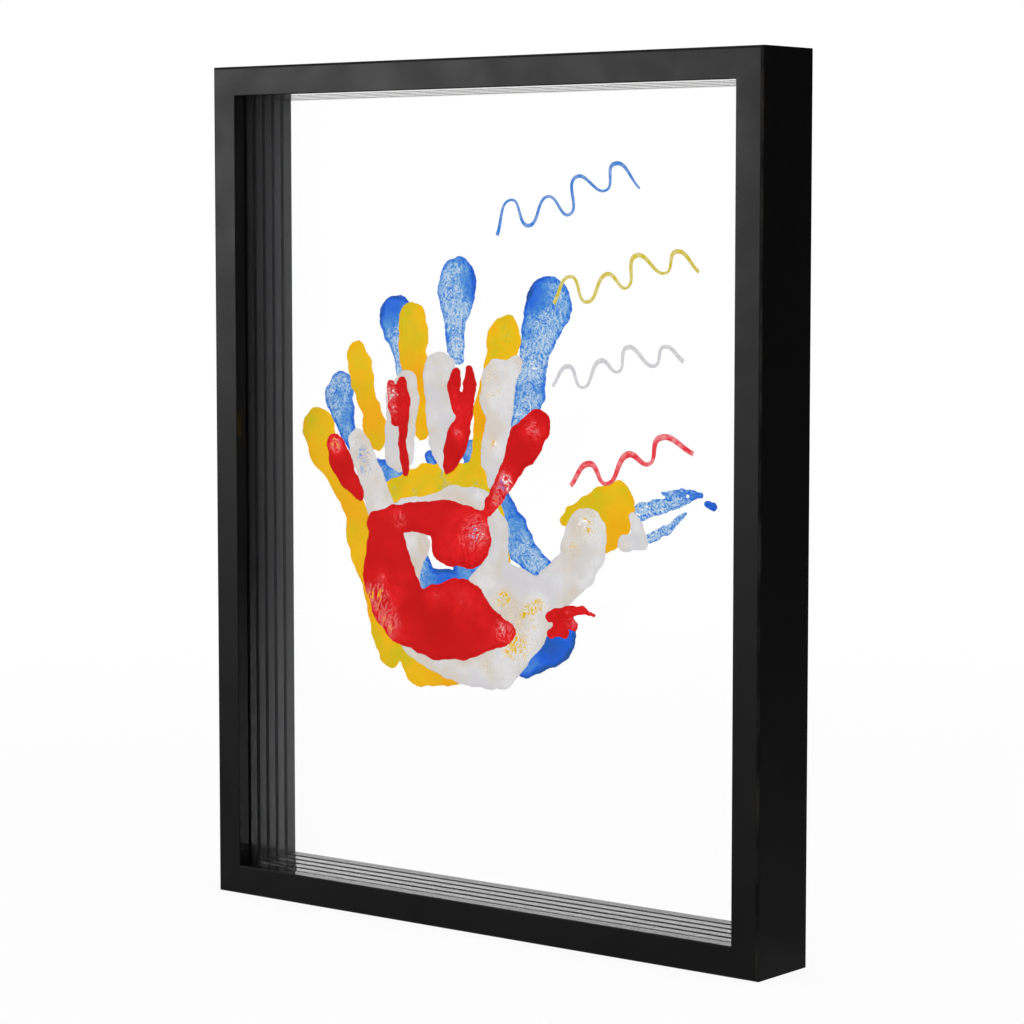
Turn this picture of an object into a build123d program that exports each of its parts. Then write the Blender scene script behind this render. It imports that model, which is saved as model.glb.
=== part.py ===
from build123d import *
import os

# A deep display frame that holds a family's handprints on layers of clear sheet.
# Millimetres. +X is to the right seen from the front, +Y runs from the front to the back and +Z is up.
# The origin is the centre of the bottom face, which the frame stands on.

# Clear sheets of a standard picture size, and the room around them in the rails
sheet_width = 279.4
sheet_height = 355.6
sheet_thickness = 2.0
sheet_clearance = 0.5

# Rails: a wall around the sheets, and a lip that laps over their front
rail_wall = 8.2
lip_overlap = 4.8
lip_depth = 6.0
outer_edge_radius = 1.2
sight_edge_radius = 0.5

# Spacer frames between the sheets, and the retainer strips behind the last one. Their inner faces
# line one throat, which grows narrower on each side by this slope towards the back.
spacer_thickness = 3.8
spacer_setback = 0.3
retainer_thickness = 4.8
throat_slope = 0.05

# V-nails that hold the mitres from behind
v_nail_height = 8.0
v_nail_length = 3.2
v_nail_spread = 5.0
v_nail_gauge = 0.9
v_nail_fold = 1.4

# Turn buttons and the screws that they turn on
button_thickness = 1.0
button_head_radius = 3.4
button_tip_radius = 2.6
button_hold = 4.0
button_inset = 5.0
button_grip_height = 0.7
button_grip_width = 1.1
button_spacing_short = 140.0
button_spacing_long = 190.0
button_gap = 0.1
screw_radius = 1.25
screw_length = 10.0
screw_head_radius = 2.5
screw_head_height = 1.6
screw_slot_length = 3.0
screw_slot_width = 0.6
screw_slot_depth = 0.8
screw_running_clearance = 0.08

# Sawtooth hanger on the back of the top rail, and its nails
hanger_length = 44.0
hanger_width = 6.4
hanger_gauge = 0.8
hanger_rise = 1.6
hanger_tab = 7.0
hanger_ramp = 2.0
tooth_pitch = 2.2
tooth_depth = 1.1
nail_radius = 0.7
nail_length = 8.0
nail_head_radius = 1.6
nail_head_height = 0.6

# Handprints, as films of dried paint. Each circle is x, z and radius from the middle of the window.
# A stroke is a row of circles from the tip of a finger to its root, or round a palm that is open inside.
paint_thickness = 0.25
handprints = {
    "red": {
        "strokes": [
            [
                (-87, 20, 4.5), (-85, 16, 5.3), (-83.5, 12.5, 6.6),
                (-79.5, 5.5, 5), (-74, 0, 3.4), (-72, -3, 1.8),
            ],
            [(-54, 47, 2.4), (-53, 39.5, 3), (-51.5, 31.5, 2.6)],
            [
                (-48, 47.5, 3), (-46.5, 39.5, 3.3), (-47, 32, 3),
                (-48, 21.5, 2), (-46.5, 15, 2.5), (-46, 9, 1.8),
            ],
            [(-17, 53, 2.5), (-18.5, 47.5, 3.5), (-18, 42.5, 3), (-16, 37, 3)],
            [(-10, 54, 2.3), (-9.5, 48.5, 3.4), (-11, 41.5, 3.6), (-12.5, 35, 4.2), (-15, 28.5, 5)],
            [(-14.5, 29.5, 4.6), (-17, 24.5, 6), (-19, 19, 5.3), (-21, 14, 3.5), (-23, 10, 1.2)],
            [(27, 32, 7), (20, 24, 9), (15, 17, 6), (9, 7, 4.5), (1, -6, 2)],
            [(6.2, 9, 1.5), (0.8, -0.7, 1.6), (-1.2, -5.9, 1.2)],
            [(33.5, -48.5, 2.2), (37.5, -47, 2.6), (45.5, -45, 2.3), (51.5, -44.5, 1.5), (57, -46, 0.8)],
            [(38, -49, 2.4), (39, -52.5, 3.2), (42, -55, 2.2)],
            [(37.5, -53.5, 2.6), (34.5, -55.5, 2)],
            [(43, -49.5, 3), (46.5, -51, 2.4)],
            [(-63, -14.5, 5.5), (-52, -11.5, 6), (-38, -10, 6.5), (-22.5, -11, 9), (-11.5, -17.5, 13.5)],
            [(-21.5, -20.5, 10), (-14, -14, 9), (-3.5, -8.5, 3.5)],
            [(-58, -17, 9), (-57, -25.5, 11.5), (-55.5, -37.5, 15), (-51, -47.5, 15), (-48.5, -56, 10.5)],
            [
                (-46, -53, 12), (-28.5, -55.5, 16), (-15.5, -53, 17.5),
                (-2.5, -56, 10), (8.5, -57, 5.5), (13, -56.5, 2.4),
            ],
        ],
    },
    "white": {
        "palm": [
            (-1, -35, 9), (24, -44.5, 11), (11.5, -60.5, 9.5),
            (2, -73.5, 9.5), (-14.5, -73.5, 9.5), (-40, -69, 7),
        ],
        "strokes": [
            [(-78.5, 21, 5.5), (-75.5, 15, 6.5), (-71.5, 6.5, 7), (-67.5, -2.5, 7.5), (-64.5, -9.5, 8)],
            [(-49.5, 48, 5.3), (-52.5, 40, 9.3), (-54, 27, 8.2), (-54.5, 17, 8.5)],
            [(-31, 52, 9.8), (-30, 34, 8.7), (-28.5, 22, 8.5), (-27, 15.5, 6)],
            [
                (1.5, 50, 9.5), (0.5, 42, 9.1), (2, 35, 6.7), (0, 23, 7.6),
                (-1.5, 17, 7), (-1.5, 9, 3.4), (-3, 5, 1.5),
            ],
            [(48.5, -12.5, 10.5), (47, -19, 11.5), (44, -27, 9.8), (30.5, -38.5, 10)],
            [(73.5, -5, 2.5), (76.5, -14, 4), (68, -15.8, 3.2)],
            [(10.5, 57, 4), (4, 49, 6)],
            [
                (-63, -12, 8.5), (-51.5, -17, 9), (-45.5, -23, 8),
                (-51, -32.5, 8.5), (-51.5, -48, 9), (-46, -65, 8),
            ],
            [(-50, -10.5, 8), (-37, -8, 6.5), (-23, -4, 8), (-9, -4, 7.3), (-1.5, -14, 8), (-1, -25.5, 7.5)],
        ],
    },
    "yellow": {
        "palm": [(-5, -38.5, 9), (14, -46, 9), (5.5, -64, 9), (-19.5, -74.5, 8.5), (-42, -70, 9)],
        "strokes": [
            [(-107, 25.2, 9.5), (-104, 15.5, 8.6), (-96, 8, 7.5), (-91, -1.5, 6.5), (-84.5, -11, 6)],
            [(-84, -13, 6.4), (-82.5, -21.5, 8), (-79, -30.5, 8.5), (-72.5, -41, 8.7), (-70.5, -53, 8)],
            [(-70, -55, 7.8), (-68.5, -63, 7.5), (-65, -73.5, 6)],
            [(-84, 59.5, 5.8), (-82, 54, 6.8), (-81, 47.5, 6.7), (-79, 40.5, 5.2), (-75.5, 34.5, 5.4)],
            [(-75, 33, 5.7), (-73.5, 26.5, 6.8), (-72, 21, 4), (-71.5, 18, 1.5)],
            [(-51.5, 74.5, 8), (-51, 67.5, 8.4), (-52, 63, 7.5), (-51, 57.5, 7.8), (-49.5, 49.5, 6)],
            [(-49, 47, 5.8), (-48, 41, 5.5), (-47, 33.5, 5.2), (-46.5, 26.5, 4.2)],
            [(1.5, 73, 5.2), (-0.5, 67, 9), (-1.5, 62, 8), (-5.5, 50, 7), (-10.5, 36, 6.8)],
            [(-10.8, 33, 6.5), (-11, 26, 6), (-13, 16, 5.5), (-14, 11, 5)],
            [(32.5, -8.5, 2.3), (36, -5.5, 3), (44, -1, 3.5), (52.5, 2.5, 4.5), (61.5, 4.5, 5.2)],
            [(62, 3, 5), (64, -0.5, 5.3), (62, -9, 4.8), (58, -16.5, 3), (54.5, -20, 1.5)],
            [(44.5, -3.5, 4), (55, -6, 5), (50, -14, 7), (41, -22.5, 7)],
            [(-64, -1, 5), (-44.5, 5, 7), (-27.5, 5, 8), (-13.5, 7, 7.2), (-8, -10.5, 8), (-5, -29, 8.2)],
            [(-55, -72, 6), (-49, -79.5, 6.7), (-28, -78, 6.3)],
        ],
    },
    "blue": {
        "strokes": [
            [(-98.5, 43.5, 7.5), (-100, 39.5, 7.9), (-98, 33.5, 7), (-96.5, 28.5, 5.2), (-94, 23, 4.2)],
            [(-93, 21.5, 4.5), (-81.5, 7.5, 6), (-69.5, 3.5, 8), (-62, -28, 12), (-54, -50, 14)],
            [(-65.2, 75.2, 10.4), (-64.5, 70, 8.5), (-65.5, 62, 3), (-63.5, 51.5, 2.4)],
            [(-30.5, 92.5, 10), (-31.5, 87.5, 10.4), (-31.5, 81.5, 8.5), (-32, 77, 6), (-32.5, 71.5, 5.3)],
            [(-32.3, 70, 5), (-32, 64, 4.9), (-31, 59.5, 4)],
            [(19.4, 82.2, 12.4), (14, 70, 9.3), (11, 58, 7.5), (9, 45, 8.5), (4, 31, 5.5), (2, 26, 3)],
            [(-66, 0, 5), (-49, 5, 5.5), (-37, 6, 6), (-20, 7, 6)],
            [(-47, 15, 2.6), (-44, 10, 3)],
            [(-23.5, 18, 5.5), (-13, 6, 6), (-4.5, -5.5, 5), (1, -13.5, 6.5), (3.5, -21, 8)],
            [(4, -22, 6.5), (11, -28, 6), (17.5, -30.5, 4.5)],
            [(-56, -48, 12), (-38, -44.5, 10.3), (-20, -44, 10), (4, -52, 12)],
            [(-58, -6, 9), (-57, -18, 8.8), (-57.3, -30, 9.2)],
            [(-56, -35, 10), (-52, -42, 8.6)],
            [(-56, -4, 7), (-42, -3, 6.8), (-28, -2.5, 7.2), (-19.5, -1.5, 6.2)],
            [(-18, -8, 8.3), (-17, -16, 10.2), (-14, -29, 9.8), (-8, -41, 9)],
            [(79.8, 4.8, 0.9), (89.5, 6.5, 0.9), (99, 5.3, 1), (92.5, 2.6, 0.9)],
            [(68, -3.4, 4), (89.5, 2.6, 2.6)],
            [(73, -14, 2.2), (81, -10.6, 2), (91.5, -2.9, 1)],
            [(102.1, 1.4, 1.4), (105.5, 1.1, 1.8)],
            [(28, -39, 4), (23.5, -43.5, 6), (19, -57.5, 15), (6.5, -68.5, 10)],
        ],
    },
}

# Sizes that follow from those above
print_colours = list(handprints)
sheet_count = len(print_colours) + 1
sheet_pitch = sheet_thickness + spacer_thickness
frame_width = sheet_width + 2 * (sheet_clearance + rail_wall)
frame_height = sheet_height + 2 * (sheet_clearance + rail_wall)
retainer_front = lip_depth + sheet_count * sheet_pitch - spacer_thickness
frame_depth = retainer_front + retainer_thickness
rail_face = rail_wall + lip_overlap
spacer_inner = rail_face - spacer_setback
cut_margin = 1.0

os.makedirs("parts", exist_ok=True)


def save(shape, node):
    export_step(shape, "parts/" + node + ".step")


def block(inset, front, back):
    """A slab that lies inset from the frame's outline all round, between two depths behind its front face."""
    slab = Box(frame_width - 2 * inset, back - front, frame_height - 2 * inset)
    return Pos(0, (front + back - frame_depth) / 2, frame_height / 2) * slab


def throat_inset(depth):
    """How far in from the frame's outline the throat's walls stand at a depth."""
    return spacer_inner + throat_slope * (depth - lip_depth)


def throat(front, back):
    """The space inside the spacers and retainers between two depths, narrower at the back."""
    width = frame_width - 2 * throat_inset(front)
    height = frame_height - 2 * throat_inset(front)
    taper = throat_slope * (back - front)
    space = Wedge(width, back - front, height, taper, taper, width - taper, height - taper)
    return Pos(0, (front + back - frame_depth) / 2, frame_height / 2) * space


def window_plane(depth):
    """The upright plane at a depth, with its origin in the middle of the window, facing the viewer."""
    return Plane((0, depth - frame_depth / 2, frame_height / 2), x_dir=(1, 0, 0), z_dir=(0, -1, 0))


def mitre_wedge(side):
    """The space that one side's pieces may fill, cut off at 45 degrees in the corners."""
    across = frame_width / 2
    up = frame_height / 2
    reach = max(rail_face, throat_inset(frame_depth)) + cut_margin
    if side in ("left", "right"):
        sign = -1 if side == "left" else 1
        corners = [(across, up, 1), (across, -up, -1)]
        outer = [(sign * (x + cut_margin), z + turn * cut_margin) for x, z, turn in corners]
        inner = [(sign * (x - reach), z - turn * reach) for x, z, turn in corners]
    else:
        sign = -1 if side == "bottom" else 1
        corners = [(across, up, 1), (-across, up, -1)]
        outer = [(x + turn * cut_margin, sign * (z + cut_margin)) for x, z, turn in corners]
        inner = [(x - turn * reach, sign * (z - reach)) for x, z, turn in corners]
    outline = make_face(Polyline(*outer, *reversed(inner), close=True))
    return extrude(window_plane(frame_depth / 2) * outline, frame_depth, both=True)


def back_plane(x, z, inward):
    """A plane on the rails' back face, facing backwards, with its x axis along inward."""
    return Plane((x, frame_depth / 2, z), x_dir=inward, z_dir=(0, 1, 0))


# Places of the turn buttons: name, x, z and the direction from the rail into the window
pivot_x = frame_width / 2 - button_inset
pivot_z = frame_height / 2 - button_inset
middle = frame_height / 2
button_places = {}
for name, side in (("left", -1), ("right", 1)):
    along = side * button_spacing_short / 2
    button_places["top_" + name] = (along, middle + pivot_z, (0, 0, -1))
    button_places["bottom_" + name] = (along, middle - pivot_z, (0, 0, 1))
for name, side in (("upper", 1), ("lower", -1)):
    along = middle + side * button_spacing_long / 2
    button_places["left_" + name] = (-pivot_x, along, (1, 0, 0))
    button_places["right_" + name] = (pivot_x, along, (-1, 0, 0))

# A turn button lies flat on the back, from its screw in the rail to its tip over the retainer
button_reach = rail_wall - button_inset + sheet_clearance + button_hold
tip_centre = button_reach - button_tip_radius
button_head = Circle(button_head_radius)
button_tip = Pos(tip_centre, 0) * Circle(button_tip_radius)
button = extrude(make_hull(button_head.edges() + button_tip.edges()), button_thickness)
grip = Box(button_grip_width, 2 * button_tip_radius - button_grip_width, button_grip_height)
button += Pos(tip_centre, 0, button_thickness + button_grip_height / 2) * grip
button -= Cylinder(screw_radius + screw_running_clearance, 2 * (button_thickness + cut_margin))
for name, (x, z, inward) in button_places.items():
    turned = back_plane(x, z, inward) * Pos(0, 0, button_gap) * button
    save(turned, "turn_button_" + name)

# The button's screw: a round head over the button with a crossed slot, and a shank into the rail
head_seat = button_thickness + 2 * button_gap
screw = Pos(0, 0, head_seat + screw_head_height / 2) * Cylinder(screw_head_radius, screw_head_height)
screw = fillet(screw.edges().sort_by(Axis.Z)[-1], screw_head_height / 2)
screw += Pos(0, 0, (head_seat - screw_length) / 2) * Cylinder(screw_radius, head_seat + screw_length)
screw_top = head_seat + screw_head_height
for turn in (0, 90):
    slot = Box(screw_slot_length, screw_slot_width, 2 * screw_slot_depth)
    screw -= Pos(0, 0, screw_top) * Rot(0, 0, turn) * slot
screws = [back_plane(x, z, inward) * screw for x, z, inward in button_places.values()]
save(Compound(children=screws), "turn_button_screws")

# The sawtooth hanger: a strip with flat tabs at its ends and a raised, toothed middle
wall_middle_x = frame_width / 2 - rail_wall / 2
wall_middle_z = frame_height / 2 - rail_wall / 2
hanger_plane = back_plane(0, middle + wall_middle_z, (-1, 0, 0))
tab_end = hanger_length / 2 - hanger_tab
raised_end = tab_end - hanger_ramp
strip_line = [(hanger_length / 2, 0), (tab_end, 0), (raised_end, hanger_rise)]
under = strip_line + [(-x, z) for x, z in reversed(strip_line)]
over = [(x, z + hanger_gauge) for x, z in reversed(under)]
strip = Plane.XZ * make_face(Polyline(*under, *over, close=True))
hanger = extrude(strip, hanger_width / 2, both=True)
tooth_outline = [(-tooth_pitch / 2, 0), (tooth_pitch / 2, 0), (0, tooth_depth)]
tooth_gap = extrude(make_face(Polyline(*tooth_outline, close=True)), hanger_rise + hanger_gauge)
tooth_count = int(2 * raised_end / tooth_pitch)
for place in range(tooth_count):
    along = (place - (tooth_count - 1) / 2) * tooth_pitch
    hanger -= Pos(along, -hanger_width / 2, hanger_rise / 2) * tooth_gap
nail_along = hanger_length / 2 - hanger_tab / 2
nail = Pos(0, 0, (hanger_gauge - nail_length) / 2) * Cylinder(nail_radius, hanger_gauge + nail_length)
nail += Pos(0, 0, hanger_gauge + nail_head_height / 2) * Cylinder(nail_head_radius, nail_head_height)
nails = []
for side in (-1, 1):
    hanger -= Pos(side * nail_along, 0) * Cylinder(nail_radius, 2 * (hanger_gauge + cut_margin))
    nails.append(hanger_plane * Pos(side * nail_along, 0) * nail)
save(hanger_plane * hanger, "sawtooth_hanger")
save(Compound(children=nails), "hanger_nails")

# V-nails: a bent strip across each mitre, driven in flush from behind
half_length = v_nail_length / 2
half_spread = v_nail_spread / 2
v_outline = [
    (-half_length, 0),
    (half_length, half_spread),
    (half_length, half_spread - v_nail_gauge),
    (v_nail_fold - half_length, 0),
    (half_length, v_nail_gauge - half_spread),
    (half_length, -half_spread),
]
v_nail = extrude(make_face(Polyline(*v_outline, close=True)), -v_nail_height)
v_nails = []
for x_side in (-1, 1):
    for z_side in (-1, 1):
        inward = (-x_side, 0, -z_side)
        corner = back_plane(x_side * wall_middle_x, middle + z_side * wall_middle_z, inward)
        v_nails.append(corner * v_nail)
save(Compound(children=v_nails), "corner_v_nails")

# The rails: one block with its front and back edges eased, as a moulding's are, and its corners sharp.
# It is opened at the sight edge and rebated behind the lip, then mitred.
rails = block(0, 0, frame_depth)
rails = fillet(rails.edges().filter_by(Axis.Y, reverse=True), outer_edge_radius)
rails -= block(rail_face, -cut_margin, frame_depth + cut_margin)
rails -= block(rail_wall, lip_depth, frame_depth + cut_margin)
sight_edges = rails.faces().sort_by(Axis.Y)[0].inner_wires()[0].edges()
rails = fillet(sight_edges, sight_edge_radius)
for fastener in screws + nails + v_nails:
    rails -= fastener

# The retainer strips, mitred like the rails, fill the rebate flush with the rails' back
sheet_inset = rail_wall + sheet_clearance
retainers = block(sheet_inset, retainer_front, frame_depth)
retainers -= throat(retainer_front - cut_margin, frame_depth + cut_margin)
for side in ("top", "bottom", "left", "right"):
    save(rails & mitre_wedge(side), "rail_" + side)
    save(retainers & mitre_wedge(side), "retainer_" + side)

# The sheets from front to back: a bare cover, then one for each print, with a spacer frame between
sheet_names = ["cover_sheet"] + [colour + "_print_sheet" for colour in print_colours]
sheet_fronts = [lip_depth + place * sheet_pitch for place in range(sheet_count)]
for name, front in zip(sheet_names, sheet_fronts):
    save(block(sheet_inset, front, front + sheet_thickness), name)
for place, front in enumerate(sheet_fronts[1:], 1):
    spacer = block(sheet_inset, front - spacer_thickness, front)
    spacer -= throat(front - spacer_thickness - cut_margin, front + cut_margin)
    save(spacer, "spacer_frame_" + str(place))


def rounded(circles):
    """The outline that a string pulled round some circles would take."""
    return make_hull([edge for x, z, radius in circles for edge in (Pos(x, z) * Circle(radius)).edges()])


# The prints: a palm and five fingers of paint on the front of each sheet, inside the spacer's opening
for colour, front in zip(print_colours, sheet_fronts[1:]):
    hand = handprints[colour]
    pads = [pair for stroke in hand["strokes"] for pair in zip(stroke, stroke[1:])]
    if "palm" in hand:
        pads.append(hand["palm"])
    outline = Sketch() + [rounded(circles) for circles in pads]
    film = extrude(window_plane(front) * outline, paint_thickness)
    film &= block(throat_inset(front), front - spacer_thickness, front)
    save(film, "handprint_" + colour)
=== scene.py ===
import math

import bpy
import numpy as np
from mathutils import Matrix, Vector


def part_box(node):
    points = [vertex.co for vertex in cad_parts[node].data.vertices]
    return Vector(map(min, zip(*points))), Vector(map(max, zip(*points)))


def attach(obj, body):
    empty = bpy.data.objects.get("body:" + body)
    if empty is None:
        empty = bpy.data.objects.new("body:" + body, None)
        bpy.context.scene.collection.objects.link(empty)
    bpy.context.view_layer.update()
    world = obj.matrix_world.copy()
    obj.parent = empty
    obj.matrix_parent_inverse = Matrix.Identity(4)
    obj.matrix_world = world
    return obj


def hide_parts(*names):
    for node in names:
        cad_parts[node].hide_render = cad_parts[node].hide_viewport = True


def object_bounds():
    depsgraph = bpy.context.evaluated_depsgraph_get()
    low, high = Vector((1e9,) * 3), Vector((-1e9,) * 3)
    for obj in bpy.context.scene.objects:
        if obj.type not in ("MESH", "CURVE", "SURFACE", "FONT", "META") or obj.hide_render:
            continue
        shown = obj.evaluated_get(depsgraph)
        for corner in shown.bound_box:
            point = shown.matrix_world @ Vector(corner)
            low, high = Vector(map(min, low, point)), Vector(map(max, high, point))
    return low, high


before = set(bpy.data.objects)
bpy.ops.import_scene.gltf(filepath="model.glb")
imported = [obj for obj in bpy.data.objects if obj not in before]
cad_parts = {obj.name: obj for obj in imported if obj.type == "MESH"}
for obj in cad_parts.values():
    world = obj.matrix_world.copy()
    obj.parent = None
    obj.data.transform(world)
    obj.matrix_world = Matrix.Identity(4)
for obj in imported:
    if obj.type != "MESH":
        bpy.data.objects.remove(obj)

cad_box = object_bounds()
mm = 0.001

# The rails and the retainer strips: mitred wood painted satin black. The rails have a lip at the front,
# and the strips lie behind the last sheet. The paint pools to a gloss on the inner edges, the grain tells
# faintly along each length, and each mitre shows as a hairline where the paint bridges it.
rail_face = 13 * mm
grain_gap, grain_length = 1.2 * mm, 60 * mm
peel_size, cloud_size = 1.4 * mm, 22 * mm

# Most of a noise texture lies between these values
noise_low, noise_high = 0.3, 0.7


def linear(code):
    """An sRGB hex colour as the linear colour that a shader takes."""
    parts = [int(code[place:place + 2], 16) / 255 for place in (1, 3, 5)]
    return [c / 12.92 if c <= 0.04045 else ((c + 0.055) / 1.055) ** 2.4 for c in parts] + [1]


def new_material(name):
    """An empty node material, its tree and its output."""
    material = bpy.data.materials.new(name)
    material.use_nodes = True
    tree = material.node_tree
    tree.nodes.clear()
    return material, tree, tree.nodes.new("ShaderNodeOutputMaterial")


def add(tree, kind, values=None, links=None, **settings):
    """One node: its settings, the values of its sockets, and what feeds them."""
    made = tree.nodes.new("ShaderNode" + kind)
    for name, value in settings.items():
        setattr(made, name, value)
    for socket, value in (values or {}).items():
        made.inputs[socket].default_value = value
    for socket, source in (links or {}).items():
        tree.links.new(source, made.inputs[socket])
    return made


def finish_node(node, material):
    """Puts a material in all the slots of a piece that keeps its shape."""
    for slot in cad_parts[node].material_slots:
        slot.material = material


def black_painted_wood(name, stretch, dark, pale):
    """Satin black paint over planed wood: fine orange peel, and grain that runs the long way."""
    material, tree, output = new_material(name)
    place = add(tree, "TexCoord").outputs["Object"]
    run = add(tree, "Mapping", {"Scale": stretch}, {"Vector": place})
    grain = add(tree, "TexNoise", {"Scale": 1, "Detail": 4}, {"Vector": run.outputs[0]})
    peel = add(tree, "TexNoise", {"Scale": 1 / peel_size, "Detail": 2}, {"Vector": place})
    cloud = add(tree, "TexNoise", {"Scale": 1 / cloud_size, "Detail": 3}, {"Vector": place})

    # Distance in from the outline along x and z, and from the faces along y
    half_width, half_depth = cad_box[1].x, -cad_box[0].y
    middle = (cad_box[0].z + cad_box[1].z) / 2
    axes = add(tree, "SeparateXYZ", links={"Vector": place})
    across = add(tree, "Math", links={0: axes.outputs[0]}, operation="ABSOLUTE")
    in_x = add(tree, "Math", {0: half_width}, {1: across.outputs[0]}, operation="SUBTRACT")
    raised = add(tree, "Math", {1: middle}, {0: axes.outputs[2]}, operation="SUBTRACT")
    up = add(tree, "Math", links={0: raised.outputs[0]}, operation="ABSOLUTE")
    in_z = add(tree, "Math", {0: middle}, {1: up.outputs[0]}, operation="SUBTRACT")
    deep = add(tree, "Math", links={0: axes.outputs[1]}, operation="ABSOLUTE")
    in_y = add(tree, "Math", {0: half_depth}, {1: deep.outputs[0]}, operation="SUBTRACT")

    # The mitre's hairline, where a point is as far in from one side as from the other
    off = add(tree, "Math", links={0: in_x.outputs[0], 1: in_z.outputs[0]}, operation="SUBTRACT")
    apart = add(tree, "Math", links={0: off.outputs[0]}, operation="ABSOLUTE")
    line = add(tree, "MapRange", {1: 0.1 * mm, 2: 0.4 * mm, 3: 1, 4: 0}, {0: apart.outputs[0]})

    # Rubbed arrises, where a point is close to a face and to a side, in patches
    side = add(tree, "Math", links={0: in_x.outputs[0], 1: in_z.outputs[0]}, operation="MINIMUM")
    sum_in = add(tree, "Math", links={0: side.outputs[0], 1: in_y.outputs[0]}, operation="ADD")
    edge = add(tree, "MapRange", {1: 0.6 * mm, 2: 1.1 * mm, 3: 1, 4: 0}, {0: sum_in.outputs[0]})
    rub = add(tree, "MapRange", {1: 0.45, 2: 0.7}, {0: cloud.outputs[0]})
    worn = add(tree, "Math", links={0: edge.outputs[0], 1: rub.outputs[0]}, operation="MULTIPLY")

    paint = add(tree, "Mix", {6: linear(dark), 7: linear(pale)}, {0: grain.outputs[0]}, data_type="RGBA")
    rubbed = add(
        tree, "Mix", {7: linear("#2a2826")}, {0: worn.outputs[0], 6: paint.outputs[2]}, data_type="RGBA"
    )
    lined = add(
        tree, "Mix", {7: linear("#030303")}, {0: line.outputs[0], 6: rubbed.outputs[2]}, data_type="RGBA"
    )

    # Satin paint all over, and the gloss of pooled paint on the inner edges, where a rail's face ends
    gloss = add(tree, "MapRange", {1: noise_low, 2: noise_high, 3: 0.36, 4: 0.44}, {0: cloud.outputs[0]})
    pooled = add(tree, "MapRange", {1: rail_face - 0.05 * mm, 2: rail_face}, {0: side.outputs[0]})
    relief = add(
        tree, "Math", {1: 0.6}, {0: grain.outputs[0], 2: peel.outputs[0]}, operation="MULTIPLY_ADD"
    )
    cut = add(tree, "Math", links={0: relief.outputs[0], 1: line.outputs[0]}, operation="SUBTRACT")
    bump = add(tree, "Bump", {"Strength": 0.2, "Distance": 0.05 * mm}, {"Height": cut.outputs[0]})
    surface = add(
        tree, "BsdfPrincipled", {"Specular IOR Level": 0.045, "Coat Roughness": 0.03, "Coat IOR": 1.3},
        {
            "Base Color": lined.outputs[2], "Roughness": gloss.outputs[0],
            "Coat Weight": pooled.outputs[0], "Normal": bump.outputs[0],
        },
    )
    tree.links.new(surface.outputs[0], output.inputs["Surface"])
    return material


level_grain = (1 / grain_length, 1 / grain_gap, 1 / grain_gap)
upright_grain = (1 / grain_gap, 1 / grain_gap, 1 / grain_length)

# The strips are painted paler than the rails: a painted reflection, standing in for the glare that the five
# panes in front lay over them
for strip, dark, pale in (("rail", "#050505", "#090909"), ("retainer", "#454546", "#4f4f50")):
    level_paint = black_painted_wood("black_paint_level_" + strip, level_grain, dark, pale)
    upright_paint = black_painted_wood("black_paint_upright_" + strip, upright_grain, dark, pale)
    finish_node(strip + "_top", level_paint)
    finish_node(strip + "_bottom", level_paint)
    finish_node(strip + "_left", upright_paint)
    finish_node(strip + "_right", upright_paint)

# The V-nails that hold each mitre: bent strips of bright steel, driven in flush from behind.
# Zinc plate is a pale grey metal with a faint blue and straw bloom, dulled by handling.


def zinc_plate(name):
    """Bright zinc plate on steel: a bloom a few millimetres across and fine rubbing marks."""
    material, tree, output = new_material(name)
    place = add(tree, "TexCoord").outputs["Object"]
    bloom_and_painted_veil = add(tree, "TexNoise", {"Scale": 1 / (3 * mm), "Detail": 3}, {"Vector": place})
    fine, long = 1 / (0.3 * mm), 1 / (4 * mm)
    run = add(tree, "Mapping", {"Scale": (fine, fine, long)}, {"Vector": place})
    marks = add(tree, "TexNoise", {"Scale": 1, "Detail": 5}, {"Vector": run.outputs[0]})
    tint = add(
        tree, "Mix", {6: linear("#b9bfc6"), 7: linear("#cfc9b4")}, {0: bloom_and_painted_veil.outputs[0]}, data_type="RGBA"
    )
    dull = add(tree, "MapRange", {1: noise_low, 2: noise_high, 3: 0.22, 4: 0.42}, {0: marks.outputs[0]})
    bump = add(tree, "Bump", {"Strength": 0.25, "Distance": 0.03 * mm}, {"Height": marks.outputs[0]})
    surface = add(
        tree, "BsdfPrincipled", {"Metallic": 1},
        {"Base Color": tint.outputs[2], "Roughness": dull.outputs[0], "Normal": bump.outputs[0]},
    )
    tree.links.new(surface.outputs[0], output.inputs["Surface"])
    return material


bright_zinc = zinc_plate("bright_zinc_plate")
finish_node("corner_v_nails", bright_zinc)

# The clear sheets: five panes of cast acrylic with a coating that keeps their glare low, a bare cover
# in front and one behind it for each print. They drop into the rebate from behind. Each face mirrors
# about an eighth of a percent of the light, and more at a slant.
face_mirror = 0.0012
clear_acrylic, tree, output = new_material("cast_acrylic_low_glare")
slant = add(tree, "LayerWeight", {"Blend": 0.5})
steep = add(tree, "Math", {1: 5}, {0: slant.outputs["Facing"]}, operation="POWER")
mirror = add(
    tree, "Math", {1: 1 - face_mirror, 2: face_mirror}, {0: steep.outputs[0]}, operation="MULTIPLY_ADD"
)
through = add(tree, "BsdfTransparent")
glare = add(tree, "BsdfGlossy", {"Roughness": 0.02})
pane = add(tree, "MixShader", links={0: mirror.outputs[0], 1: through.outputs[0], 2: glare.outputs[0]})
tree.links.new(pane.outputs[0], output.inputs["Surface"])
print_colours = ("red", "white", "yellow", "blue")
for sheet in ["cover_sheet"] + [ink + "_print_sheet" for ink in print_colours]:
    finish_node(sheet, clear_acrylic)

# A look through all the panes crosses ten of their faces and the paint between them
bpy.context.scene.cycles.transparent_max_bounces = 48
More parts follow.
